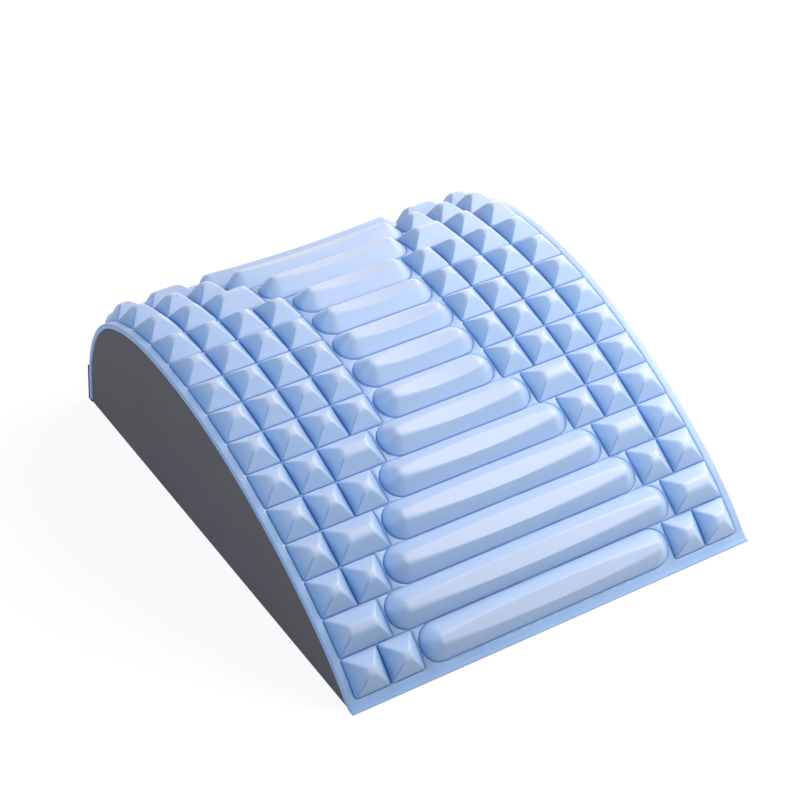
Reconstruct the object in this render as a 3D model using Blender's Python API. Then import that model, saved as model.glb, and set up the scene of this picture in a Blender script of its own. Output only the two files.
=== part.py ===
"""A back stretcher: an arched foam wedge under a moulded pad of massage blocks and bars.

Metres, +Z up. +X runs across the user's back, +Y towards the steep end, and the origin is the
middle of the underside. The pad, the foam under it and the sheet below both are glued together.
"""

import math

import bmesh
import bpy
from mathutils import Vector
from mathutils.geometry import delaunay_2d_cdt

# Width of the whole cushion, and the air left between pieces that touch
PAD_WIDTH = 0.2435
CLEARANCE = 0.0003

# Base sheet: a thin skin under the foam, turned up behind the pad's back edge. The pad's front
# edge comes down to the ground before it.
SHEET_THICKNESS = 0.0012
SHEET_TURN_UP = 0.024

# Foam core: set in a little from the pad's two side edges
CORE_INSET = 0.0006

# Pad: the moulded skin that carries the relief
PAD_THICKNESS = 0.003
LIP_THICKNESS = 0.0008

# Hem in front of the first row, and the bare strip behind the last row, along the pad
HEM_LENGTH = 0.0062
HEM_SLOPE = 19.0
BACK_MARGIN = 0.0253

# The pad's upper face from the side, front to back: the hem bends from HEM_SLOPE to TOE_SLOPE,
# and then come arcs, each with its length along the pad and its slope in degrees where it ends.
# A straight run goes on from the last one down to the foot.
TOE_SLOPE = 48.5
RISE_LENGTH = 0.042
RISE_END_SLOPE = 34.5
LONG_SLOPE_LENGTH = 0.105
LONG_SLOPE_END_SLOPE = 16.5
CREST_LENGTH = 0.083
CREST_END_SLOPE = -3.0
SHOULDER_LENGTH = 0.038
SHOULDER_END_SLOPE = -23.5
BACK_CORNER_LENGTH = 0.033
BACK_CORNER_END_SLOPE = -56.0
BACK_LENGTH = 0.040
BACK_END_SLOPE = -83.0

# Relief: rows from front to back. Each lists one side's blocks from the outer edge inwards,
# S a square block and W a wide one, and the other side mirrors it. A bar fills the middle.
ROWS = (
    "SS", "W", "SS", "SW", "SSS", "SSW",
    "SSSS", "SSSS", "SSSS", "SSSS", "SSSS",
    "SSW", "SSS", "SW", "SS", "W",
)
SIDE_MARGIN = 0.005
SQUARE_BLOCK = 0.020
WIDE_BLOCK = 0.030
BLOCK_HEIGHT = 0.0079
BLOCK_TOP = 0.005
WIDE_BLOCK_TOP = 0.0142
BAR_DIP = 0.0017
BAR_END_CLEARANCE = 0.001

# Fineness of the curves, and the angle in degrees past which an edge is shaded sharp
BAR_END_STEPS = 8
BAR_SPANS = 6
STRIP_STEP = 0.0105
SHARP_ANGLE = 24.0

PAD_COLOUR = (0.30, 0.47, 0.83, 1.0)
CORE_COLOUR = (0.085, 0.085, 0.105, 1.0)
SHEET_COLOUR = (0.014, 0.020, 0.035, 1.0)

# The foam and the pad's back edge stand on this level, just clear of the sheet
FOOT = SHEET_THICKNESS + CLEARANCE
BLOCK_SIZES = {"S": (SQUARE_BLOCK, BLOCK_TOP), "W": (WIDE_BLOCK, WIDE_BLOCK_TOP)}


def arc_end(start, length, slope, end_slope):
    """Where an arc ends whose slope turns evenly from slope to end_slope, in radians."""
    turn = end_slope - slope
    if abs(turn) < 1e-9:
        return start[0] + length * math.cos(slope), start[1] + length * math.sin(slope)
    radius = length / turn
    return (
        start[0] + radius * (math.sin(end_slope) - math.sin(slope)),
        start[1] + radius * (math.cos(slope) - math.cos(end_slope)),
    )


def trace_section():
    """The runs of the pad's upper face: distance and place where each starts, length, slopes."""
    shape = [
        (HEM_LENGTH, math.radians(HEM_SLOPE), math.radians(TOE_SLOPE)),
        (RISE_LENGTH, math.radians(TOE_SLOPE), math.radians(RISE_END_SLOPE)),
        (LONG_SLOPE_LENGTH, math.radians(RISE_END_SLOPE), math.radians(LONG_SLOPE_END_SLOPE)),
        (CREST_LENGTH, math.radians(LONG_SLOPE_END_SLOPE), math.radians(CREST_END_SLOPE)),
        (SHOULDER_LENGTH, math.radians(CREST_END_SLOPE), math.radians(SHOULDER_END_SLOPE)),
        (BACK_CORNER_LENGTH, math.radians(SHOULDER_END_SLOPE), math.radians(BACK_CORNER_END_SLOPE)),
        (BACK_LENGTH, math.radians(BACK_CORNER_END_SLOPE), math.radians(BACK_END_SLOPE)),
    ]
    runs = []
    distance = 0.0
    place = (0.0, LIP_THICKNESS)
    for length, slope, end_slope in shape:
        runs.append((distance, place, length, slope, end_slope))
        place = arc_end(place, length, slope, end_slope)
        distance += length
    down = math.radians(BACK_END_SLOPE)
    length = (FOOT - place[1]) / math.sin(down)
    runs.append((distance, place, length, down, down))
    return runs, distance + length


RUNS, PAD_LENGTH = trace_section()
ROW_PITCH = (PAD_LENGTH - HEM_LENGTH - BACK_MARGIN) / len(ROWS)
FLANK = (ROW_PITCH - BLOCK_TOP) / 2


def on_section(distance):
    """Place (y, z) and slope of the pad's upper face at a distance along it."""
    for start, place, length, slope, end_slope in reversed(RUNS):
        if distance >= start or start == 0.0:
            part = distance - start
            here = slope + (end_slope - slope) * part / length
            return arc_end(place, part, slope, here), here


def on_pad(x, distance, height):
    """A point at a height over the pad's upper face, square to it."""
    (y, z), slope = on_section(distance)
    return Vector((x, y - height * math.sin(slope), z + height * math.cos(slope)))


def steps_between(start, end):
    """Even steps from start to end, none longer than STRIP_STEP."""
    count = max(1, math.ceil((end - start) / STRIP_STEP))
    return [start + (end - start) * i / count for i in range(count + 1)]


def level_below_pad(depth, front_level):
    """Section (y, z) at a depth under the pad's upper face, from front_level to the back's foot."""
    points = []
    for distance in steps_between(HEM_LENGTH, PAD_LENGTH):
        (y, z), slope = on_section(distance)
        points.append((y + depth * math.sin(slope), z - depth * math.cos(slope)))
    # Both ends carry on straight, far enough to pass the ground
    reach = 4 * depth + HEM_LENGTH
    toe = math.radians(TOE_SLOPE)
    end = math.radians(BACK_END_SLOPE)
    first = (points[0][0] - reach * math.cos(toe), points[0][1] - reach * math.sin(toe))
    last = (points[-1][0] + reach * math.cos(end), points[-1][1] + reach * math.sin(end))
    points = [first] + points + [last]
    kept = []
    for a, b in zip(points, points[1:]):
        cut = front_level if b[1] > a[1] else FOOT
        if (a[1] > cut) != (b[1] > cut):
            share = (cut - a[1]) / (b[1] - a[1])
            kept.append((a[0] + (b[0] - a[0]) * share, cut))
        if b[1] > cut:
            kept.append(b)
    return kept


def bar_height(x, ridge):
    """Height of a bar's ridge, which dips between its two ends."""
    share = min(abs(x) / ridge, 1.0)
    return BLOCK_HEIGHT - BAR_DIP * (1 - share * share)


def bar_outline(middle, ridge, half_width):
    """A bar's outline round its ridge. half_width gives its reach to each side at any x."""
    points = []
    for side in (1, -1):
        for i in range(BAR_END_STEPS + 1):
            turn = math.pi * (i / BAR_END_STEPS - 0.5)
            reach = half_width(side * ridge)
            points.append((
                side * (ridge + reach * math.cos(turn)),
                middle + side * reach * math.sin(turn),
            ))
        for i in range(1, BAR_SPANS):
            x = side * ridge * (1 - 2 * i / BAR_SPANS)
            points.append((x, middle + side * half_width(x)))
    return points


class Relief:
    """The pad's upper face laid flat: points (x, distance), their heights and the lines."""

    def __init__(self):
        self.points = []
        self.heights = []
        self.lines = []

    def line(self, points, height, closed=False):
        """A line through points. height is a function of x."""
        first = len(self.points)
        for x, distance in points:
            self.points.append(Vector((x, distance)))
            self.heights.append(height(x))
        last = len(self.points) - 1
        self.lines += [(i, i + 1) for i in range(first, last)]
        if closed:
            self.lines.append((last, first))


def level(x):
    return 0.0


def add_block(relief, left, right, top_width, front, back):
    """A block cut off flat below its peak. Its side edges bend with the arch at their middles."""
    middle = (front + back) / 2
    base = [
        (left, front), (right, front), (right, middle),
        (right, back), (left, back), (left, middle),
    ]
    relief.line(base, level, closed=True)
    inset = (right - left - top_width) / 2
    top = [
        (left + inset, front + FLANK), (right - inset, front + FLANK),
        (right - inset, back - FLANK), (left + inset, back - FLANK),
    ]
    relief.line(top, lambda x: BLOCK_HEIGHT, closed=True)


def add_bar(relief, half_length, middle):
    """A bar with half-round ends and a ridge that is highest over the ends' centres."""
    ridge = half_length - ROW_PITCH / 2
    base = bar_outline(middle, ridge, lambda x: ROW_PITCH / 2)
    relief.line(base, level, closed=True)

    def top_width(x):
        return ROW_PITCH / 2 - FLANK * bar_height(x, ridge) / BLOCK_HEIGHT

    top = bar_outline(middle, ridge, top_width)
    relief.line(top, lambda x: bar_height(x, ridge), closed=True)


def lay_out_relief():
    """Blocks, bars and row lines of the whole pad, laid flat."""
    relief = Relief()
    half = PAD_WIDTH / 2
    field = half - SIDE_MARGIN
    last_row = HEM_LENGTH + len(ROWS) * ROW_PITCH
    row_lines = [HEM_LENGTH + i * ROW_PITCH for i in range(len(ROWS) + 1)]
    for distance in [0.0, HEM_LENGTH / 2] + row_lines + steps_between(last_row, PAD_LENGTH)[1:]:
        relief.line([(-half, distance), (half, distance)], level)
    for side in (-half, half):
        relief.line([(side, 0.0), (side, PAD_LENGTH)], level)
    for row, pattern in enumerate(ROWS):
        front = row_lines[row]
        back = row_lines[row + 1]
        middle = (front + back) / 2
        for side in (-1, 1):
            relief.line([(side * half, middle), (side * field, middle)], level)
            outer = field
            for kind in pattern:
                width, top_width = BLOCK_SIZES[kind]
                ends = sorted((side * outer, side * (outer - width)))
                add_block(relief, *ends, top_width, front, back)
                outer -= width
        add_bar(relief, outer - BAR_END_CLEARANCE, middle)
    return relief


def build_pad():
    relief = lay_out_relief()
    flat, _, faces, origins, _, _ = delaunay_2d_cdt(
        relief.points, relief.lines, [], 0, 1e-6
    )
    mesh = bmesh.new()
    upper = []
    for place, origin in zip(flat, origins):
        height = max((relief.heights[i] for i in origin), default=0.0)
        upper.append(mesh.verts.new(on_pad(place.x, place.y, height)))
    for face in faces:
        mesh.faces.new([upper[i] for i in face])

    # The underside is flat on the ground under the hem, and then follows the arch
    under = [(0.0, 0.0)] + level_below_pad(PAD_THICKNESS, 0.0)
    half = PAD_WIDTH / 2
    rails = {}
    edges = {}
    for side in (-half, half):
        rails[side] = [mesh.verts.new((side, y, z)) for y, z in under]
        on_edge = [i for i, place in enumerate(flat) if abs(place.x - side) < 1e-6]
        on_edge.sort(key=lambda i: flat[i].y)
        edges[side] = [upper[i] for i in on_edge]
        mesh.faces.new(edges[side] + rails[side][::-1])
    left = rails[-half]
    right = rails[half]
    for i in range(len(under) - 1):
        mesh.faces.new([left[i], left[i + 1], right[i + 1], right[i]])
    mesh.faces.new([edges[-half][0], edges[half][0], right[0], left[0]])
    mesh.faces.new([edges[half][-1], edges[-half][-1], left[-1], right[-1]])
    return mesh


def extrude_section(section, half_width):
    """A solid with this (y, z) section, from -half_width to half_width across."""
    mesh = bmesh.new()
    ring = [mesh.verts.new((-half_width, y, z)) for y, z in section]
    face = mesh.faces.new(ring)
    grown = bmesh.ops.extrude_face_region(mesh, geom=[face])["geom"]
    moved = [item for item in grown if isinstance(item, bmesh.types.BMVert)]
    bmesh.ops.translate(mesh, verts=moved, vec=(2 * half_width, 0.0, 0.0))
    return mesh


CORE_SECTION = level_below_pad(PAD_THICKNESS + CLEARANCE, FOOT)


def build_core():
    """The foam wedge: it fills the arch under the pad."""
    return extrude_section(CORE_SECTION, PAD_WIDTH / 2 - CORE_INSET)


def strip_face(distance_out, height):
    """A face (y, z) of the turned-up strip behind the pad, upwards from this height."""
    points = []
    for distance in reversed(steps_between(PAD_LENGTH - SHEET_TURN_UP, PAD_LENGTH)):
        (y, z), slope = on_section(distance)
        points.append((y - distance_out * math.sin(slope), z + distance_out * math.cos(slope)))
    y, z = points[0]
    below = (y + (height - z) / math.tan(math.radians(BACK_END_SLOPE)), height)
    return [below] + points


STRIP_INSIDE = strip_face(CLEARANCE, SHEET_THICKNESS)
STRIP_OUTSIDE = strip_face(CLEARANCE + SHEET_THICKNESS, 0.0)


def build_sheet():
    """The base sheet: flat under the foam from its front tip on, then up behind the pad."""
    tip = CORE_SECTION[0][0]
    front = [(tip, SHEET_THICKNESS), (tip, 0.0)]
    return extrude_section(front + STRIP_OUTSIDE + STRIP_INSIDE[::-1], PAD_WIDTH / 2)


def material(name, colour, roughness):
    made = bpy.data.materials.new(name)
    made.use_nodes = True
    shader = made.node_tree.nodes["Principled BSDF"]
    shader.inputs["Base Color"].default_value = colour
    shader.inputs["Roughness"].default_value = roughness
    shader.inputs["Metallic"].default_value = 0.0
    made.diffuse_color = colour
    return made


def place_piece(name, mesh, finish, frame):
    """Make a closed mesh an object of the cushion, placed by its frame."""
    bmesh.ops.triangulate(mesh, faces=[face for face in mesh.faces if len(face.verts) > 4])
    bmesh.ops.recalc_face_normals(mesh, faces=mesh.faces)
    data = bpy.data.meshes.new(name)
    mesh.to_mesh(data)
    mesh.free()
    data.shade_smooth()
    data.set_sharp_from_angle(angle=math.radians(SHARP_ANGLE))
    data.materials.append(finish)
    piece = bpy.data.objects.new(name, data)
    bpy.context.scene.collection.objects.link(piece)
    piece.parent = frame
    return piece


for old in list(bpy.data.objects):
    bpy.data.objects.remove(old)

frame = bpy.data.objects.new("stretcher_frame", None)
bpy.context.scene.collection.objects.link(frame)
pieces = [
    place_piece("massage_pad", build_pad(), material("blue_elastomer_foam", PAD_COLOUR, 0.5), frame),
    place_piece("foam_core", build_core(), material("grey_foam", CORE_COLOUR, 0.85), frame),
    place_piece("base_sheet", build_sheet(), material("dark_rubber_sheet", SHEET_COLOUR, 0.6), frame),
]

# The section is drawn from the front edge back, so the frame moves its middle to the origin
reach = [vertex.co.y for piece in pieces for vertex in piece.data.vertices]
frame.location = (0.0, -(min(reach) + max(reach)) / 2, 0.0)
bpy.context.view_layer.update()
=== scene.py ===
"""Back stretcher: the looks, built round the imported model. Metres, +Z up, +Y to the steep back."""

import math

import bmesh
import bpy
from mathutils import Matrix, Vector
from mathutils.geometry import delaunay_2d_cdt
from mathutils.kdtree import KDTree


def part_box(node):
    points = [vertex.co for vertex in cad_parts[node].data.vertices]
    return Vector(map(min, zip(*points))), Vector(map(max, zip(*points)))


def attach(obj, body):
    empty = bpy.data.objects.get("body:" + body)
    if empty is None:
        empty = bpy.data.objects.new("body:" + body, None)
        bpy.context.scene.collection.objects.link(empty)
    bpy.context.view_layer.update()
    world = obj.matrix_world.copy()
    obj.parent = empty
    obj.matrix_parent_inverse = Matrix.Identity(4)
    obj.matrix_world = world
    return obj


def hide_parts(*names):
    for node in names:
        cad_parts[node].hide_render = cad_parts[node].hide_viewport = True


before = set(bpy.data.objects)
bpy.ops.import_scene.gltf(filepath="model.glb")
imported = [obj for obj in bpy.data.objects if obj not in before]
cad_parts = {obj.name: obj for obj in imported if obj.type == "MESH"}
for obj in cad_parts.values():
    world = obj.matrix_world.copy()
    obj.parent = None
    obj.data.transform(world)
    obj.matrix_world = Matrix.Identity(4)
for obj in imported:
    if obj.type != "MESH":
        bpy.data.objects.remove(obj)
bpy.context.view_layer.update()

# Massage pad
# One moulding of soft elastomer foam, glued over the foam wedge. Its relief is pressed in flat
# and then bent over the arch: square and wide blocks at the sides, and a bar across each row.

PAD_LOW, PAD_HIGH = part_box("massage_pad")
HALF_WIDTH = PAD_HIGH.x
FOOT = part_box("foam_core")[0].z
PAD_THICKNESS = 0.003
LIP_THICKNESS = 0.0008
HEM_LENGTH = 0.0062
ROW_PITCH = 0.0209
# Each row from its outer end inwards: S is a square block and W a wide one
ROWS = (
    "SS", "W", "SS", "SW", "SSS", "SSW",
    "SSSS", "SSSS", "SSSS", "SSSS", "SSSS",
    "SSW", "SSS", "SW", "SS", "W",
)
SIDE_MARGIN = 0.005
OUTER_GROWTH = 0.0005
SQUARE_BLOCK = 0.020
WIDE_BLOCK = 0.030
BLOCK_HEIGHT = 0.0079
BLOCK_TOP = 0.005
BAR_DIP = 0.0017
BAR_END_CLEARANCE = 0.001
GROOVE_WIDTH = 0.0005
GROOVE_DEPTH = 0.0006
BLOCK_ROUNDING = 0.0042
END_ROUNDING = 0.0040
RIDGE_ROUNDING = 0.0009
EDGE_ROUNDING = 0.0005

# The pad's upper face from the side: each run's length and its slopes in degrees
ARCH_RUNS = (
    (HEM_LENGTH, 19.0, 48.5),
    (0.042, 48.5, 34.5),
    (0.105, 34.5, 16.5),
    (0.083, 16.5, -3.0),
    (0.038, -3.0, -23.5),
    (0.033, -23.5, -56.0),
    (0.040, -56.0, -83.0),
)
ARCH_STEP = 0.0005


def trace_arch():
    """Points of the arch in the frame, about ARCH_STEP apart, down to the foot."""
    place = Vector((0.0, PAD_LOW.y, LIP_THICKNESS))
    points = [place.copy()]
    for length, start, end in ARCH_RUNS:
        steps = round(length / ARCH_STEP)
        for i in range(steps):
            slope = math.radians(start + (end - start) * (i + 0.5) / steps)
            place += Vector((0.0, math.cos(slope), math.sin(slope))) * (length / steps)
            points.append(place.copy())
    down = math.radians(ARCH_RUNS[-1][2])
    last = (FOOT - place.z) / math.sin(down)
    points.append(place + Vector((0.0, math.cos(down), math.sin(down))) * last)
    return points


def lengths_along(points):
    """Distance from the first point to each point."""
    sums = [0.0]
    for a, b in zip(points, points[1:]):
        sums.append(sums[-1] + (b - a).length)
    return sums


ARCH = trace_arch()
ARCH_LENGTHS = lengths_along(ARCH)
PAD_LENGTH = ARCH_LENGTHS[-1]
LAST_ROW = HEM_LENGTH + len(ROWS) * ROW_PITCH

# Each cell of the relief keeps half a groove's width free all round its block or bar
GAP = GROOVE_WIDTH / 2
FLANK = (ROW_PITCH - BLOCK_TOP) / 2
FLANK_SLOPE = BLOCK_HEIGHT / FLANK
FLANK_ANGLE = math.atan(FLANK_SLOPE)

# Where the rings lie, from the groove up: on its wall, as (inset, height), on the straight flank,
# and round the bend over the top, as parts of the flank's angle
GROOVE_WALL = ((0.0, -GROOVE_DEPTH), (0.00005, 0.00002), (0.00018, 0.00030))
FLANK_START = 0.00045
FLANK_LOW = 0.0010
BEND_LEAD = 0.0005
BEND_PARTS = (1.0, 0.75, 0.5, 0.25, 0.0)
TOP_REACH = 0.0003


def flank_steps(height, rounding):
    """(inset, height) from the groove's bottom up the lip and the flank and over the top."""
    edge = height / FLANK_SLOPE - GAP
    reach = rounding * math.tan(FLANK_ANGLE / 2)
    steps = list(GROOVE_WALL)
    bend = edge + reach - rounding * math.sin(FLANK_ANGLE)
    for inset in (FLANK_START, FLANK_LOW, (FLANK_LOW + bend) / 2, bend - BEND_LEAD):
        steps.append((inset, (inset + GAP) * FLANK_SLOPE))
    for part in BEND_PARTS:
        angle = FLANK_ANGLE * part
        steps.append((
            edge + reach - rounding * math.sin(angle),
            height - rounding * (1 - math.cos(angle)),
        ))
    steps.append((edge + reach + TOP_REACH, height))
    return steps


CORNER_STEPS = 4
CORNER_LIMIT = 0.85
# Places of the points along a block's straight edge, as shares of half its length
EDGE_POINTS = (0.88, 0.6, 0.3, 0.0, -0.3, -0.6, -0.88)

# Corner radius of each ring: wide at the groove, tighter up the hips, soft over the top
CORNERS = (
    0.0013, 0.0013, 0.0012, 0.0011, 0.0010, 0.0010, 0.0011,
    0.0012, 0.0013, 0.0014, 0.0014, 0.0012, 0.0010,
)
# Painted shading on each ring: painted shade up to 1 in the groove, painted highlight down to -1 on
# the top: along a block's front and back, and along its sides
PAINTED_SHADING = (0.65, 0.25, 0.1, 0.0, 0.0, 0.0, 0.0, 0.0, -0.15, -0.4, -0.7, -0.9, -1.0)
PAINTED_SHADING_SIDES = (1.0, 0.85, 0.75, 0.65, 0.55, 0.18, 0.0, 0.0, -0.15, -0.4, -0.7, -0.9, -1.0)
# A thin line of painted shade down each block's front left hip, strongest halfway up
PAINTED_HIP_SHADE = (0.0, 0.0, 0.0, 0.2, 0.4, 0.6, 0.6, 0.5, 0.35, 0.15, 0.0, 0.0, 0.0)
HIP_SHADE_SHARPNESS = 2.5


def block_ring(inset, height, radius):
    """One ring (x, distance, height, along, sideways, crease) round a square block.

    along runs from -1 at the block's left part to 1 at its right, for lengthening it,
    sideways from 0 where the flank faces front or back to 1 where it faces left or right, which sets
    how much of the sides' painted shade it takes, and hip_shade, a line of painted shade, is 1 on the
    front left hip.
    """
    across = SQUARE_BLOCK / 2 - GAP - inset * (SQUARE_BLOCK - BLOCK_TOP) / (ROW_PITCH - BLOCK_TOP)
    deep = ROW_PITCH / 2 - GAP - inset
    radius = min(radius, CORNER_LIMIT * across, CORNER_LIMIT * deep)
    ring = []
    for quarter in range(4):
        turn = quarter * math.pi / 2
        side_x, side_y = ((1, -1), (1, 1), (-1, 1), (-1, -1))[quarter]
        centre = (side_x * (across - radius), side_y * (deep - radius))
        for i in range(CORNER_STEPS + 1):
            angle = turn - math.pi / 2 + math.pi / 2 * i / CORNER_STEPS
            x = centre[0] + radius * math.cos(angle)
            y = centre[1] + radius * math.sin(angle)
            off_hip = abs(i / CORNER_STEPS - 0.5) * HIP_SHADE_SHARPNESS
            hip_shade = max(0.0, 1 - off_hip) if quarter == 3 else 0.0
            ring.append((x, y, height, side_x, math.cos(angle) ** 2, hip_shade))
        for part in EDGE_POINTS:
            if quarter == 0:
                ring.append((across, -part * (deep - radius), height, 1.0, 1.0, 0.0))
            elif quarter == 1:
                ring.append((part * (across - radius), deep, height, part, 0.0, 0.0))
            elif quarter == 2:
                ring.append((-across, part * (deep - radius), height, -1.0, 1.0, 0.0))
            else:
                ring.append((-part * (across - radius), -deep, height, -part, 0.0, 0.0))
    return ring


BAR_END_STEPS = 16
BAR_SPANS = 14


def bar_steps(along):
    """The bar's flank at a place along it: its ridge dips and is crisper towards the middle."""
    return flank_steps(
        BLOCK_HEIGHT - BAR_DIP * (1 - along * along),
        RIDGE_ROUNDING + (END_ROUNDING - RIDGE_ROUNDING) * along * along,
    )


def bar_rings():
    """Rings round a bar of no length, whose straight part along sets later."""
    rings = []
    for level in range(len(CORNERS)):
        ring = []
        for side in (1, -1):
            for i in range(BAR_END_STEPS + 1):
                inset, height = bar_steps(side)[level]
                reach = ROW_PITCH / 2 - GAP - inset
                turn = math.pi * (i / BAR_END_STEPS - 0.5)
                x, y = side * reach * math.cos(turn), side * reach * math.sin(turn)
                ring.append((x, y, height, side, math.cos(turn) ** 2, 0.0))
            for i in range(1, BAR_SPANS):
                along = side * (1 - 2 * i / BAR_SPANS)
                inset, height = bar_steps(along)[level]
                ring.append((0.0, side * (ROW_PITCH / 2 - GAP - inset), height, along, 0.0, 0.0))
        rings.append(ring)
    return rings


def relief_mesh(name, rings):
    """A block's or bar's faces over its rings, open below. Its top is filled across."""
    made = bmesh.new()
    along = made.verts.layers.float.new("along")
    painted_shading = made.verts.layers.float.new("painted_shading")
    built = []
    # Each point takes its painted shading: painted shade low in the groove and on the side flanks,
    # painted highlight on the top
    for ring, ends, sides, line in zip(rings, PAINTED_SHADING, PAINTED_SHADING_SIDES, PAINTED_HIP_SHADE):
        row = []
        for x, y, height, share, sideways, hip_shade in ring:
            vertex = made.verts.new((x, y, height))
            vertex[along] = share
            vertex[painted_shading] = ends + (sides - ends) * sideways + line * hip_shade
            row.append(vertex)
        built.append(row)
    for low, high in zip(built, built[1:]):
        for i in range(len(low)):
            j = (i + 1) % len(low)
            made.faces.new((low[i], low[j], high[j], high[i]))
    top = built[-1]
    half = len(top) // 2
    if name == "bar":
        ends = BAR_END_STEPS + 1
        for i in range(BAR_SPANS):
            right = [top[ends - 1 + i], top[ends + i]]
            left = [top[(2 * half - i) % (2 * half)], top[2 * half - i - 1]]
            made.faces.new((right[0], right[1], left[1], left[0]))
        made.faces.new(top[:ends])
        made.faces.new(top[half:half + ends])
    else:
        made.faces.new(top)
    bmesh.ops.triangulate(made, faces=[face for face in made.faces if len(face.verts) > 4])
    data = bpy.data.meshes.new(name)
    made.to_mesh(data)
    made.free()
    return data


BLOCK_STEPS = flank_steps(BLOCK_HEIGHT, BLOCK_ROUNDING)
BLOCK_RINGS = [block_ring(*step, radius) for step, radius in zip(BLOCK_STEPS, CORNERS)]
BAR_RINGS = bar_rings()


def lay_out_cells():
    """Every block and bar: (kind, centre x, centre distance, how far its ends move out)."""
    cells = []
    for row, pattern in enumerate(ROWS):
        middle = HEM_LENGTH + (row + 0.5) * ROW_PITCH
        outer = HALF_WIDTH - SIDE_MARGIN
        growth = OUTER_GROWTH
        for letter in pattern:
            width = WIDE_BLOCK if letter == "W" else SQUARE_BLOCK
            stretch = (width + growth - SQUARE_BLOCK) / 2
            for side in (-1, 1):
                cells.append(("block", side * (outer + growth / 2 - width / 2), middle, stretch))
            outer -= width
            growth = 0.0
        cells.append(("bar", 0.0, middle, outer - BAR_END_CLEARANCE - ROW_PITCH / 2))
    return cells


CELLS = lay_out_cells()


def outline(cell):
    """The groove line round a block or bar, in the flat layout."""
    kind, x, distance, stretch = cell
    ring = BLOCK_RINGS[0] if kind == "block" else BAR_RINGS[0]
    return [Vector((x + point[0] + point[3] * stretch, distance + point[1])) for point in ring]


# Steps of the sheet's own lip: (distance out from a groove, height)
SHEET_LIP = ((0.0003, -0.00045), (0.00055, -0.00012), (0.0008, 0.0))
LIP_ROOM = 0.0009
# The bare sheet's own points, where no groove is near: their spacing, and lines across a row
OPEN_SPACING = 0.0026
OPEN_ROOM = 0.0016
ROW_LINES = 8


def sheet_points(outlines):
    """Points of the bare sheet between and round the relief, each with its height."""
    owners = [number for number, loop in enumerate(outlines) for _ in loop]
    tree = KDTree(len(owners))
    for index, point in enumerate(point for loop in outlines for point in loop):
        tree.insert((point.x, point.y, 0.0), index)
    tree.balance()

    def clear(point, number):
        """Whether no other block's or bar's groove is near."""
        near = tree.find_range((point.x, point.y, 0.0), LIP_ROOM)
        return all(owners[index] == number for _, index, _ in near)

    points = []
    # The sheet's lip along every groove that doesn't run between two blocks
    for number, loop in enumerate(outlines):
        for i, point in enumerate(loop):
            ahead = loop[(i + 1) % len(loop)] - loop[i - 1]
            outward = Vector((ahead.y, -ahead.x)).normalized()
            for out, height in SHEET_LIP:
                moved = point + outward * out
                if clear(moved, number):
                    points.append((moved, height))
    # Open stretches between the bars' ends and the blocks, and the field's outer border
    reach = round((HALF_WIDTH - SIDE_MARGIN) / OPEN_SPACING)
    for i in range(-reach, reach + 1):
        for j in range(ROW_LINES * len(ROWS) + 1):
            point = Vector((i * OPEN_SPACING, HEM_LENGTH + j * ROW_PITCH / ROW_LINES))
            room = tree.find((point.x, point.y, 0.0))[2]
            if room > OPEN_ROOM and not inside_cell(point):
                points.append((point, 0.0))
    return points


def inside_cell(point):
    """Whether a point of the flat layout lies within a block's or bar's own cell."""
    for kind, x, distance, stretch in CELLS:
        if abs(point.y - distance) > ROW_PITCH / 2:
            continue
        if kind == "block" and abs(point.x - x) < SQUARE_BLOCK / 2 + stretch:
            return True
        past = max(abs(point.x - x) - stretch, 0.0)
        if kind == "bar" and math.hypot(past, point.y - distance) < ROW_PITCH / 2:
            return True
    return False


def spaced(start, end, step):
    """Even values from start to end, none more than a step apart."""
    count = max(1, math.ceil((end - start) / step - 1e-6))
    return [start + (end - start) * i / count for i in range(count + 1)]


# Lines across the pad, from the front lip back over the hem, the rows and the rear hem, and the
# columns of its margins up to its rounded edge: (distance in from the edge, height)
CROSS_LINES = (
    [0.0, 0.00015, 0.0004]
    + spaced(0.0015, HEM_LENGTH - 0.0014, 0.0017)
    + spaced(HEM_LENGTH, LAST_ROW, ROW_PITCH / ROW_LINES)
    + spaced(LAST_ROW + 0.0015, PAD_LENGTH, 0.0025)
)
EDGE_COLUMNS = [(0.0030, 0.0), (0.0018, 0.0)] + [
    (EDGE_ROUNDING * (1 - math.sin(angle)), -EDGE_ROUNDING * (1 - math.cos(angle)))
    for angle in (0.0, math.radians(30), math.radians(60), math.radians(90))
]
# How far the front lip's edge is rounded down at the first cross lines
LIP_DROP = {0.0: -0.0003, 0.00015: -0.0001}
# Painted shade on the bare sheet: in its grooves, on its open parts, its hem, its front lip and its
# trimmed edge
GROOVE_PAINTED_SHADE = 0.75
SHEET_PAINTED_SHADE = 0.2
HEM_PAINTED_SHADE = 0.3
LIP_PAINTED_SHADE = 0.45
EDGE_PAINTED_SHADE = 0.6
LIP_LENGTH = 0.004
# The hems' own points: their spacing, and how far they keep from the first and last grooves
HEM_SPACING = 0.005
GROOVE_ROOM = 0.0008


def thickness(distance):
    """How thick the pad is here: it thins to its lip where the hem meets the ground."""
    i = next(i for i in range(1, len(ARCH)) if ARCH_LENGTHS[i] >= distance - 1e-9)
    step = ARCH_LENGTHS[i] - ARCH_LENGTHS[i - 1]
    share = (distance - ARCH_LENGTHS[i - 1]) / step
    height = ARCH[i - 1].z + (ARCH[i].z - ARCH[i - 1].z) * share
    level = (ARCH[i].y - ARCH[i - 1].y) / step
    return min(PAD_THICKNESS, height / level) if distance < 2 * HEM_LENGTH else PAD_THICKNESS


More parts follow.
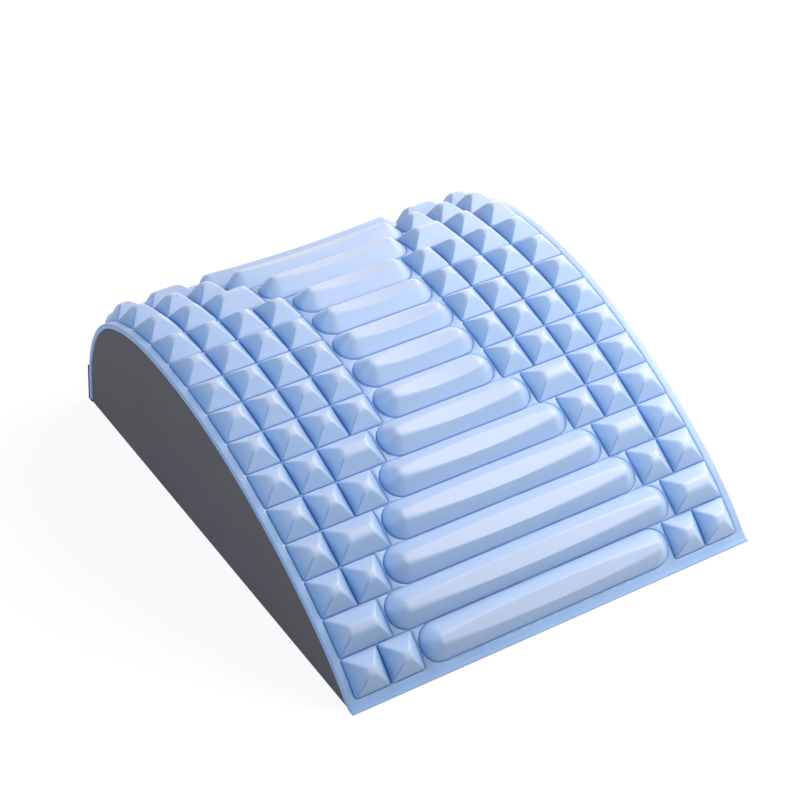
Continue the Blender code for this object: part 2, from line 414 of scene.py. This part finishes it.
def build_sheet():
    """The pad without its relief, laid flat: a closed sheet but for a hole under each block."""
    outlines = [outline(cell) for cell in CELLS]
    points = []
    heights = []
    loops = []
    for loop in outlines:
        loops.append(list(range(len(points), len(points) + len(loop))))
        points += loop
        heights += [-GROOVE_DEPTH] * len(loop)
    for point, height in sheet_points(outlines):
        points.append(point)
        heights.append(height)
    # Painted shade on the sheet's points: deepest in the grooves, and a little everywhere else
    painted_shade_levels = [max(SHEET_PAINTED_SHADE, -GROOVE_PAINTED_SHADE * height / GROOVE_DEPTH) for height in heights]
    for distance in CROSS_LINES:
        drop = LIP_DROP.get(distance, 0.0)
        share = 0.4 + 0.6 * thickness(distance) / PAD_THICKNESS
        # Painted shade on the bare sheet here: a little on open parts, more on the hem, most on the
        # front lip
        bare = SHEET_PAINTED_SHADE
        if distance < HEM_LENGTH:
            bare = LIP_PAINTED_SHADE if distance < LIP_LENGTH else HEM_PAINTED_SHADE
        for side in (-1, 1):
            for margin, height in EDGE_COLUMNS:
                points.append(Vector((side * (HALF_WIDTH - margin), distance)))
                heights.append(min(height * share, drop))
                painted_shade_levels.append(EDGE_PAINTED_SHADE if margin < 0.0001 else bare)
        if distance < HEM_LENGTH - GROOVE_ROOM or distance > LAST_ROW + GROOVE_ROOM:
            across = HALF_WIDTH - SIDE_MARGIN
            for x in spaced(-across, across, HEM_SPACING):
                points.append(Vector((x, distance)))
                heights.append(drop)
                painted_shade_levels.append(bare)
    flat, _, faces, origins, _, owners = delaunay_2d_cdt(points, [], loops, 0, 1e-7)
    made = bmesh.new()
    painted_shading = made.verts.layers.float.new("painted_shading")
    upper = []
    for place, origin in zip(flat, origins):
        height = min((heights[i] for i in origin), default=0.0)
        upper.append(made.verts.new((place.x, place.y, height)))
        upper[-1][painted_shading] = max((painted_shade_levels[i] for i in origin), default=0.0)
    for face, owner in zip(faces, owners):
        if not owner:
            made.faces.new([upper[i] for i in face])

    # The side walls and the underside go round from the left edge to the right: (x, depth's share)
    half = [(HALF_WIDTH / 2, 1.0), (HALF_WIDTH - 0.0003, 1.0), (HALF_WIDTH, 0.9), (HALF_WIDTH, 0.6)]
    under = [(-x, share) for x, share in half[::-1]] + [(0.0, 1.0)] + half
    upright = math.tan(math.radians(90.0 + ARCH_RUNS[-1][2]))
    edges = {}
    for side in (-1, 1):
        on_edge = [i for i, place in enumerate(flat) if abs(place.x - side * HALF_WIDTH) < 1e-7]
        on_edge.sort(key=lambda i: flat[i].y)
        edges[side] = on_edge
    rows = []
    for left, right in zip(edges[-1], edges[1]):
        distance = flat[left].y
        below = []
        for x, share in under:
            depth = share * thickness(distance)
            # The back edge is cut level, where it stands on the sheet
            raised = depth * upright if distance > PAD_LENGTH - 1e-7 else 0.0
            below.append(made.verts.new((x, distance - raised, -depth)))
            # The side walls and the underside take the edge's painted shade
            below[-1][painted_shading] = EDGE_PAINTED_SHADE
        rows.append([upper[left]] + below + [upper[right]])
    for near, far in zip(rows, rows[1:]):
        for i in range(len(near) - 1):
            made.faces.new((near[i], far[i], far[i + 1], near[i + 1]))
    for distance, row in ((0.0, rows[0]), (PAD_LENGTH, rows[-1])):
        on_end = [i for i, place in enumerate(flat) if abs(place.y - distance) < 1e-7]
        on_end.sort(key=lambda i: -flat[i].x)
        between = [upper[i] for i in on_end[1:-1]]
        made.faces.new(row + between)
    bmesh.ops.triangulate(made, faces=[face for face in made.faces if len(face.verts) > 4])
    data = bpy.data.meshes.new("pad_sheet")
    made.to_mesh(data)
    made.free()
    return data


def add_node(tree, kind, values=(), **settings):
    """A node of this kind with its settings, and values or sockets set on its inputs by name."""
    made = tree.nodes.new(kind)
    for name, value in settings.items():
        setattr(made, name, value)
    for key, value in dict(values).items():
        if isinstance(value, bpy.types.NodeSocket):
            tree.links.new(value, made.inputs[key])
        else:
            made.inputs[key].default_value = value
    return made


def attribute(tree, name):
    """The float attribute of this name, read in a geometry tree."""
    found = add_node(tree, "GeometryNodeInputNamedAttribute", {"Name": name}, data_type="FLOAT")
    return found.outputs["Attribute"]


def relief_tree():
    """Sets a block or bar on each cell, joins them to the sheet and bends all over the arch."""
    tree = bpy.data.node_groups.new("moulded_relief", "GeometryNodeTree")
    face = tree.interface
    for name, kind in (
        ("Cells", "NodeSocketGeometry"), ("Block", "NodeSocketObject"), ("Bar", "NodeSocketObject"),
        ("Sheet", "NodeSocketObject"), ("Arch", "NodeSocketObject"), ("Weld", "NodeSocketFloat"),
        ("Material", "NodeSocketMaterial"),
    ):
        face.new_socket(name, in_out="INPUT", socket_type=kind)
    face.new_socket("Pad", in_out="OUTPUT", socket_type="NodeSocketGeometry")
    given = add_node(tree, "NodeGroupInput").outputs
    parts = []
    for number, name in enumerate(("Block", "Bar")):
        shape = add_node(tree, "GeometryNodeObjectInfo", {"Object": given[name]})
        wanted = add_node(
            tree, "FunctionNodeCompare", {0: attribute(tree, "kind"), 1: float(number)},
            data_type="FLOAT", operation="EQUAL",
        )
        parts.append(add_node(tree, "GeometryNodeInstanceOnPoints", {
            "Points": given["Cells"], "Selection": wanted.outputs[0],
            "Instance": shape.outputs["Geometry"],
        }).outputs[0])
    joined = add_node(tree, "GeometryNodeJoinGeometry")
    for part in parts:
        tree.links.new(part, joined.inputs[0])
    real = add_node(tree, "GeometryNodeRealizeInstances", {0: joined.outputs[0]})
    longer = add_node(tree, "ShaderNodeMath", {
        0: attribute(tree, "along"), 1: attribute(tree, "stretch"),
    }, operation="MULTIPLY")
    offset = add_node(tree, "ShaderNodeCombineXYZ", {"X": longer.outputs[0]})
    placed = add_node(tree, "GeometryNodeSetPosition", {
        "Geometry": real.outputs[0], "Offset": offset.outputs[0],
    })
    sheet = add_node(tree, "GeometryNodeObjectInfo", {"Object": given["Sheet"]})
    whole = add_node(tree, "GeometryNodeJoinGeometry")
    for part in (placed.outputs[0], sheet.outputs["Geometry"]):
        tree.links.new(part, whole.inputs[0])
    welded = add_node(tree, "GeometryNodeMergeByDistance", {
        "Geometry": whole.outputs[0], "Distance": given["Weld"],
    })
    # Bend: x stays, y is the distance along the arch, z the height square to it
    path = add_node(tree, "GeometryNodeMeshToCurve", {
        0: add_node(tree, "GeometryNodeObjectInfo", {"Object": given["Arch"]}).outputs["Geometry"],
    })
    position = add_node(tree, "GeometryNodeInputPosition")
    flat = add_node(tree, "ShaderNodeSeparateXYZ", {0: position.outputs[0]})
    spot = add_node(tree, "GeometryNodeSampleCurve", {
        "Curves": path.outputs[0], "Length": flat.outputs["Y"],
    }, mode="LENGTH")
    tangent = add_node(tree, "ShaderNodeSeparateXYZ", {0: spot.outputs["Tangent"]})
    back = add_node(tree, "ShaderNodeMath", {0: tangent.outputs["Z"], 1: -1.0}, operation="MULTIPLY")
    normal = add_node(tree, "ShaderNodeCombineXYZ", {"Y": back.outputs[0], "Z": tangent.outputs["Y"]})
    raised = add_node(tree, "ShaderNodeVectorMath", {
        0: normal.outputs[0], "Scale": flat.outputs["Z"],
    }, operation="SCALE")
    over = add_node(tree, "ShaderNodeVectorMath", {
        0: spot.outputs["Position"], 1: raised.outputs[0],
    }, operation="ADD")
    bent = add_node(tree, "ShaderNodeSeparateXYZ", {0: over.outputs[0]})
    place = add_node(tree, "ShaderNodeCombineXYZ", {
        "X": flat.outputs["X"], "Y": bent.outputs["Y"], "Z": bent.outputs["Z"],
    })
    draped = add_node(tree, "GeometryNodeSetPosition", {
        "Geometry": welded.outputs[0], "Position": place.outputs[0],
    })
    smooth = add_node(tree, "GeometryNodeSetShadeSmooth", {0: draped.outputs[0]})
    solid = add_node(tree, "GeometryNodeRealizeInstances", {0: smooth.outputs[0]})
    finished = add_node(tree, "GeometryNodeSetMaterial", {
        "Geometry": solid.outputs[0], "Material": given["Material"],
    })
    add_node(tree, "NodeGroupOutput", {"Pad": finished.outputs[0]})
    return tree


def linear(code):
    """A colour written as sRGB hex, as the linear RGBA that Blender's sockets take."""
    values = [int(code[i:i + 2], 16) / 255 for i in (0, 2, 4)]
    turned = [v / 12.92 if v <= 0.04045 else ((v + 0.055) / 1.055) ** 2.4 for v in values]
    return (*turned, 1.0)


def new_material(name):
    """A material of this name with its tree and its Principled shader."""
    made = bpy.data.materials.new(name)
    made.use_nodes = True
    return made, made.node_tree, made.node_tree.nodes["Principled BSDF"]


def moulded_foam():
    """Elastomer foam moulded against a satin tool: matt blue with a soft sheen. Painted shade makes
    it deeper blue in the grooves, low on the side flanks, down each front left hip, on the bare sheet
    and on its hem, lip and edges, and a painted highlight makes it paler on the tops of the blocks
    and bars."""
    made, tree, shader = new_material("moulded_elastomer_foam")
    place = add_node(tree, "ShaderNodeTexCoord").outputs["Object"]
    painted_shading = add_node(tree, "ShaderNodeAttribute", attribute_name="painted_shading").outputs["Fac"]
    painted_highlight = add_node(tree, "ShaderNodeMath", {
        0: painted_shading, 1: -1.0,
    }, operation="MULTIPLY", use_clamp=True)
    # Painted highlight: a paler colour on the tops
    highlighted_tint = add_node(tree, "ShaderNodeMix", {
        "Factor": painted_highlight.outputs[0], 6: linear("A8C0E6"), 7: linear("B3C3E4"),
    }, data_type="RGBA")
    # Painted shade: a deeper blue where the painted shading is positive
    skin = add_node(tree, "ShaderNodeMix", {
        "Factor": painted_shading, 6: highlighted_tint.outputs[2], 7: linear("5290D4"),
    }, data_type="RGBA")
    # The pigment is faintly uneven, in patches of about 22 mm
    mottle = add_node(tree, "ShaderNodeTexNoise", {"Vector": place, "Scale": 45.0, "Detail": 3.0})
    shade = add_node(tree, "ShaderNodeMapRange", {
        "Value": mottle.outputs["Fac"], "To Min": 0.96, "To Max": 1.0,
    })
    tint = add_node(tree, "ShaderNodeMix", {
        "Factor": 1.0, 6: skin.outputs[2], 7: shade.outputs[0],
    }, data_type="RGBA", blend_type="MULTIPLY")
    tree.links.new(tint.outputs[2], shader.inputs["Base Color"])
    # The tool's satin grain is about 0.1 mm. It is drawn at 0.7 mm, so that it shows.
    grain = add_node(tree, "ShaderNodeTexNoise", {"Vector": place, "Scale": 1400.0, "Detail": 2.0})
    bump = add_node(tree, "ShaderNodeBump", {
        "Height": grain.outputs["Fac"], "Strength": 0.12, "Distance": 0.0004,
    })
    tree.links.new(bump.outputs[0], shader.inputs["Normal"])
    shader.inputs["Roughness"].default_value = 0.45
    shader.inputs["Specular IOR Level"].default_value = 0.5
    shader.inputs["Sheen Weight"].default_value = 0.5
    shader.inputs["Sheen Roughness"].default_value = 0.4
    return made


def set_input(modifier, tree, name, value):
    """Set a modifier's input by its socket's identifier."""
    socket = next(item for item in tree.interface.items_tree if item.name == name)
    modifier[socket.identifier] = value


def helper_object(name, data):
    """An object that only feeds the tree. It goes once the pad is a plain mesh."""
    made = bpy.data.objects.new(name, data)
    bpy.context.scene.collection.objects.link(made)
    return made


def cell_points():
    """A mesh of one point a cell, with its kind and stretch."""
    data = bpy.data.meshes.new("cells")
    data.from_pydata([(x, distance, 0.0) for _, x, distance, _ in CELLS], [], [])
    kinds = data.attributes.new("kind", "FLOAT", "POINT").data
    stretches = data.attributes.new("stretch", "FLOAT", "POINT").data
    for i, (kind, _, _, stretch) in enumerate(CELLS):
        kinds[i].value = 0.0 if kind == "block" else 1.0
        stretches[i].value = stretch
    return data


def plain_mesh(made, name):
    """The evaluated object as a plain mesh object of this name, in the frame."""
    evaluated = made.evaluated_get(bpy.context.evaluated_depsgraph_get())
    data = bpy.data.meshes.new_from_object(evaluated)
    data.name = name
    piece = bpy.data.objects.new(name, data)
    bpy.context.scene.collection.objects.link(piece)
    return piece


def finish_shell(piece, sharp_degrees):
    """Turn a closed shell's faces outwards, and shade it smooth but for its sharp edges."""
    made = bmesh.new()
    made.from_mesh(piece.data)
    stray = [vertex for vertex in made.verts if not vertex.link_faces]
    bmesh.ops.delete(made, geom=stray, context="VERTS")
    bmesh.ops.recalc_face_normals(made, faces=made.faces)
    made.to_mesh(piece.data)
    made.free()
    piece.data.shade_smooth()
    piece.data.set_sharp_from_angle(angle=math.radians(sharp_degrees))


WELD_DISTANCE = 0.00001
arch_line = bpy.data.meshes.new("arch")
arch_line.from_pydata(ARCH, [(i, i + 1) for i in range(len(ARCH) - 1)], [])
helpers = {
    "Block": helper_object("block", relief_mesh("block", BLOCK_RINGS)),
    "Bar": helper_object("bar", relief_mesh("bar", BAR_RINGS)),
    "Sheet": helper_object("pad_sheet", build_sheet()),
    "Arch": helper_object("arch", arch_line),
}
cells = helper_object("cells", cell_points())
tree = relief_tree()
modifier = cells.modifiers.new("relief", "NODES")
modifier.node_group = tree
for name, helper in helpers.items():
    set_input(modifier, tree, name, helper)
set_input(modifier, tree, "Weld", WELD_DISTANCE)
set_input(modifier, tree, "Material", moulded_foam())
bpy.context.view_layer.update()
pad = plain_mesh(cells, "moulded_pad")
for helper in (cells, *helpers.values()):
    bpy.data.objects.remove(helper)
finish_shell(pad, sharp_degrees=50)
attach(pad, "root")
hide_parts("massage_pad")

# Foam core
# A wedge of grey closed-cell foam, cut to the arch with a hot wire. The pad is glued over it, and
# its cut sides stay bare, down to a hair above the ground. The wire leaves their edges sharp.

GLUE_LINE = 0.0003
CORE_LIFT = 0.0001
SHEET_INSET = 0.003
ARCH_SKIP = 3
SAME_PLACE = 1e-6


def below_pad(depth):
    """The section (y, z) under the arch at this depth, closed along the foot.

    Each point is set off square to the arch between two points a little before and after it,
    and every third one is kept."""
    section = []
    for before, after in zip(ARCH, ARCH[ARCH_SKIP + 1:]):
        ahead = (after - before).normalized()
        middle = (before + after) / 2
        place = (middle.y + depth * ahead.z, middle.z - depth * ahead.y)
        if place[1] > FOOT:
            section.append(place)
    (y0, z0), (y1, z1) = section[0], section[1]
    first = (y0 - (z0 - FOOT) * (y1 - y0) / (z1 - z0), FOOT)
    (y0, z0), (y1, z1) = section[-2], section[-1]
    last = (y1 + (FOOT - z1) * (y1 - y0) / (z1 - z0), FOOT)
    return [first] + section[ARCH_SKIP:-ARCH_SKIP:ARCH_SKIP] + [last]


def lowered(section, foot):
    """The section with its two ends carried on down to this level."""
    ends = []
    for (y0, z0), (y1, z1) in ((section[0], section[1]), (section[-1], section[-2])):
        ends.append((y0 + (foot - z0) * (y1 - y0) / (z1 - z0), foot))
    return [ends[0]] + section[1:-1] + [ends[1]]


def prism(name, sections, rounding=0.0):
    """A solid through sections (x, [(y, z), ...]) from left to right.

    Its sharp edges are rounded where a rounding is given."""
    made = bmesh.new()
    rows = [[made.verts.new((x, y, z)) for y, z in section] for x, section in sections]
    for near, far in zip(rows, rows[1:]):
        for i in range(len(near)):
            j = (i + 1) % len(near)
            made.faces.new((near[i], near[j], far[j], far[i]))
    made.faces.new(rows[0][::-1])
    made.faces.new(rows[-1])
    bmesh.ops.remove_doubles(made, verts=made.verts, dist=SAME_PLACE)
    bmesh.ops.recalc_face_normals(made, faces=made.faces)
    if rounding:
        sharp = [edge for edge in made.edges if edge.calc_face_angle() > math.radians(30)]
        bmesh.ops.bevel(
            made, geom=sharp, offset=rounding, segments=3, profile=0.5, affect="EDGES",
            clamp_overlap=True,
        )
        # Where the rounding is held back, its points lie on one another
        bmesh.ops.remove_doubles(made, verts=made.verts, dist=SAME_PLACE)
    bmesh.ops.triangulate(made, faces=[face for face in made.faces if len(face.verts) > 4])
    data = bpy.data.meshes.new(name)
    made.to_mesh(data)
    made.free()
    piece = bpy.data.objects.new(name, data)
    bpy.context.scene.collection.objects.link(piece)
    return piece


def cut_foam():
    """Closed-cell foam: the cut cells give a matt grey with a fine even grain."""
    made, tree, shader = new_material("cut_closed_cell_foam")
    place = add_node(tree, "ShaderNodeTexCoord").outputs["Object"]
    # The wire leaves patches of about 55 mm that are a little lighter or darker
    shade = add_node(tree, "ShaderNodeTexNoise", {"Vector": place, "Scale": 18.0, "Detail": 4.0})
    tint = add_node(tree, "ShaderNodeMix", {
        "Factor": shade.outputs["Fac"], 6: linear("585459"), 7: linear("646065"),
    }, data_type="RGBA")
    tree.links.new(tint.outputs[2], shader.inputs["Base Color"])
    # Cells of about 0.3 mm, drawn at 0.8 mm, so that they show
    cells = add_node(tree, "ShaderNodeTexVoronoi", {"Vector": place, "Scale": 1300.0})
    bump = add_node(tree, "ShaderNodeBump", {
        "Height": cells.outputs["Distance"], "Strength": 0.25, "Distance": 0.0003,
    })
    tree.links.new(bump.outputs[0], shader.inputs["Normal"])
    shader.inputs["Roughness"].default_value = 0.85
    shader.inputs["Specular IOR Level"].default_value = 0.3
    return made


CORE_SECTION = below_pad(PAD_THICKNESS + GLUE_LINE)
CORE_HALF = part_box("foam_core")[1].x
SIDE_SECTION = lowered(CORE_SECTION, CORE_LIFT)
core = prism("cut_foam_core", [
    (-CORE_HALF, SIDE_SECTION), (SHEET_INSET - CORE_HALF, SIDE_SECTION),
    (SHEET_INSET - CORE_HALF, CORE_SECTION), (CORE_HALF - SHEET_INSET, CORE_SECTION),
    (CORE_HALF - SHEET_INSET, SIDE_SECTION), (CORE_HALF, SIDE_SECTION),
])
core.data.materials.append(cut_foam())
finish_shell(core, sharp_degrees=40)
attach(core, "root")
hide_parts("foam_core")

# Base sheet
# A thin sheet of dark rubber foam that keeps the stretcher from sliding. It is let into the core's
# underside, a little in from the sides, and turned up at full width behind the pad.

SHEET_THICKNESS = 0.0012
SHEET_TURN_UP = 0.024
SHEET_EDGE = 0.0002


def behind_pad(out, height):
    """The turned-up strip's face (y, z) this far behind the pad, upwards from this height."""
    last, before = ARCH[-1], ARCH[-2]
    ahead = (last - before).normalized()
    foot = (last.y + out * -ahead.z, last.z + out * ahead.y)
    base = (foot[0] + (height - foot[1]) / ahead.z * ahead.y, height)
    top = (foot[0] - ahead.y * SHEET_TURN_UP, foot[1] - ahead.z * SHEET_TURN_UP)
    middle = tuple((a + b) / 2 for a, b in zip(base, top))
    return [base, middle, top]


def sheet_section(front):
    """The sheet from the side: flat from here to the back, then up behind the pad."""
    outside = behind_pad(GLUE_LINE + SHEET_THICKNESS, 0.0)
    inside = behind_pad(GLUE_LINE, SHEET_THICKNESS)
    return [(front, SHEET_THICKNESS), (front, 0.0)] + outside + inside[::-1]


def rubber_sheet():
    """Dark rubber foam, with the pebbled skin that gives it grip."""
    made, tree, shader = new_material("pebbled_rubber_sheet")
    place = add_node(tree, "ShaderNodeTexCoord").outputs["Object"]
    shade = add_node(tree, "ShaderNodeTexNoise", {"Vector": place, "Scale": 60.0, "Detail": 3.0})
    tint = add_node(tree, "ShaderNodeMix", {
        "Factor": shade.outputs["Fac"], 6: linear("20253A"), 7: linear("2A3048"),
    }, data_type="RGBA")
    tree.links.new(tint.outputs[2], shader.inputs["Base Color"])
    # Pebbles of about 1.1 mm
    pebbles = add_node(tree, "ShaderNodeTexVoronoi", {"Vector": place, "Scale": 900.0})
    bump = add_node(tree, "ShaderNodeBump", {
        "Height": pebbles.outputs["Distance"], "Strength": 0.4, "Distance": 0.0004,
    })
    tree.links.new(bump.outputs[0], shader.inputs["Normal"])
    shader.inputs["Roughness"].default_value = 0.7
    return made


UNDER_CORE = sheet_section(CORE_SECTION[0][0])
UNDER_PAD = sheet_section(SIDE_SECTION[-1][0] + GLUE_LINE)
inset = HALF_WIDTH - SHEET_INSET - GLUE_LINE
base = prism("rubber_base_sheet", [
    (-HALF_WIDTH, UNDER_PAD), (-inset, UNDER_PAD), (-inset, UNDER_CORE),
    (inset, UNDER_CORE), (inset, UNDER_PAD), (HALF_WIDTH, UNDER_PAD),
], SHEET_EDGE)
base.data.materials.append(rubber_sheet())
finish_shell(base, sharp_degrees=40)
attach(base, "root")
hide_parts("base_sheet")

# Studio
# A white sweep, as in a catalogue picture: the floor shows white to the camera and keeps the
# stretcher's shadow.

# The camera, fitted to the photograph: its lens in mm, the spot it looks at, and where it stands
LENS = 99.30
SENSOR = 36.0
TARGET = Vector((0.02828, PAD_LOW.y + 0.19780, 0.0008))
DISTANCE = 1.25742
AZIMUTH, ELEVATION, ROLL = (math.radians(v) for v in (-32.3554, 37.904, -0.6493))

back = Vector((
    math.sin(AZIMUTH) * math.cos(ELEVATION),
    -math.cos(AZIMUTH) * math.cos(ELEVATION),
    math.sin(ELEVATION),
))
right = (-back).cross(Vector((0.0, 0.0, 1.0))).normalized()
up = back.cross(right)
turned_right = right * math.cos(ROLL) - up * math.sin(ROLL)
turned_up = up * math.cos(ROLL) + right * math.sin(ROLL)
lens = bpy.data.cameras.new("camera")
lens.lens = LENS
lens.sensor_width = SENSOR
camera = bpy.data.objects.new("camera", lens)
placing = Matrix((turned_right, turned_up, back)).transposed().to_4x4()
placing.translation = TARGET + back * DISTANCE
camera.matrix_world = placing
bpy.context.scene.collection.objects.link(camera)
bpy.context.scene.camera = camera


def seen_directly(tree):
    """1 for what the camera sees, straight or in a reflection, and 0 for the light it gives."""
    path = add_node(tree, "ShaderNodeLightPath").outputs
    straight = add_node(tree, "ShaderNodeMath", {
        0: path["Is Camera Ray"], 1: path["Is Glossy Ray"],
    }, operation="ADD")
    return add_node(tree, "ShaderNodeMath", {
        0: straight.outputs[0], 1: path["Is Transmission Ray"],
    }, operation="ADD", use_clamp=True).outputs[0]


def white_paper():
    """Matt white paper, lit to a clean white that a soft shadow only just greys. It is lit more
    away from the stretcher, beyond the lamps."""
    made, tree, shader = new_material("white_paper")
    shader.inputs["Base Color"].default_value = linear("E7E7E7")
    shader.inputs["Roughness"].default_value = 0.9
    shader.inputs["Specular IOR Level"].default_value = 0.0
    spot = add_node(tree, "ShaderNodeTexCoord").outputs["Object"]
    away = add_node(tree, "ShaderNodeVectorMath", {0: spot}, operation="LENGTH").outputs["Value"]
    lift = add_node(tree, "ShaderNodeMapRange", {
        "Value": away, "From Min": 0.4, "From Max": 1.6, "To Min": 1.1, "To Max": 1.27,
    })
    glow = add_node(tree, "ShaderNodeEmission", {"Strength": lift.outputs[0]})
    share = add_node(tree, "ShaderNodeMath", {0: seen_directly(tree), 1: 0.8}, operation="MULTIPLY")
    mix = add_node(tree, "ShaderNodeMixShader", {
        0: share.outputs[0], 1: shader.outputs[0], 2: glow.outputs[0],
    })
    tree.links.new(mix.outputs[0], tree.nodes["Material Output"].inputs["Surface"])
    return made


FLOOR_REACH = 6.0
floor_mesh = bpy.data.meshes.new("floor")
floor_mesh.from_pydata(
    [(x * FLOOR_REACH, y * FLOOR_REACH, 0.0) for x, y in ((-1, -1), (1, -1), (1, 1), (-1, 1))],
    [], [(0, 1, 2, 3)],
)
floor = bpy.data.objects.new("floor", floor_mesh)
bpy.context.scene.collection.objects.link(floor)
floor_mesh.materials.append(white_paper())


LAMPS_FACE = Vector((0.0, 0.0, 0.05))


def soft_box(name, turn, rise, away, size, watts, colour):
    """A square lamp that faces the stretcher. Its bearing, from +X towards +Y, and its height are
    in degrees, and its distance and its side in metres."""
    light = bpy.data.lights.new(name, "AREA")
    light.shape = "SQUARE"
    light.size = size
    light.energy = watts
    light.color = colour
    made = bpy.data.objects.new(name, light)
    turn, rise = math.radians(turn), math.radians(rise)
    level = math.cos(rise)
    towards = Vector((math.cos(turn) * level, math.sin(turn) * level, math.sin(rise)))
    made.location = LAMPS_FACE + towards * away
    made.rotation_euler = towards.to_track_quat("Z", "Y").to_euler()
    bpy.context.scene.collection.objects.link(made)


# The key stands on the right, a touch warmer than the soft box that fills the shade on the left.
# A low one in front is the coolest. A small one near it and one behind are about neutral.
WARM = (1.2, 1.0, 0.84)
COOL = (0.85, 1.0, 1.14)
NEUTRAL = (1.0, 1.0, 0.96)
WHITE = (1.0, 1.0, 1.0)
SEA_COOL = (0.6, 1.0, 1.05)
soft_box("key_right", 0, 44, 0.85, 0.54, 5.4, WARM)
soft_box("low_right", 5, 22, 1.1, 0.7, 2.6, WARM)
soft_box("front_right", -51, 44, 0.39, 0.26, 0.65, NEUTRAL)
soft_box("fill_left", 180, 42, 1.1, 0.7, 5.6, COOL)
soft_box("fill_front", -60, 15, 1.1, 0.7, 1.5, SEA_COOL)
soft_box("rim_back", 45, 15, 1.1, 0.7, 4.5, WHITE)
world = bpy.data.worlds.new("world")
world.use_nodes = True
sky = world.node_tree.nodes["Background"]
sky.inputs["Color"].default_value = (1.0, 1.0, 1.0, 1.0)
glow = add_node(world.node_tree, "ShaderNodeMapRange", {
    "Value": seen_directly(world.node_tree), "To Min": 0.05, "To Max": 1.0,
})
world.node_tree.links.new(glow.outputs[0], sky.inputs["Strength"])
bpy.context.scene.world = world
bpy.context.scene.view_settings.view_transform = "Standard"
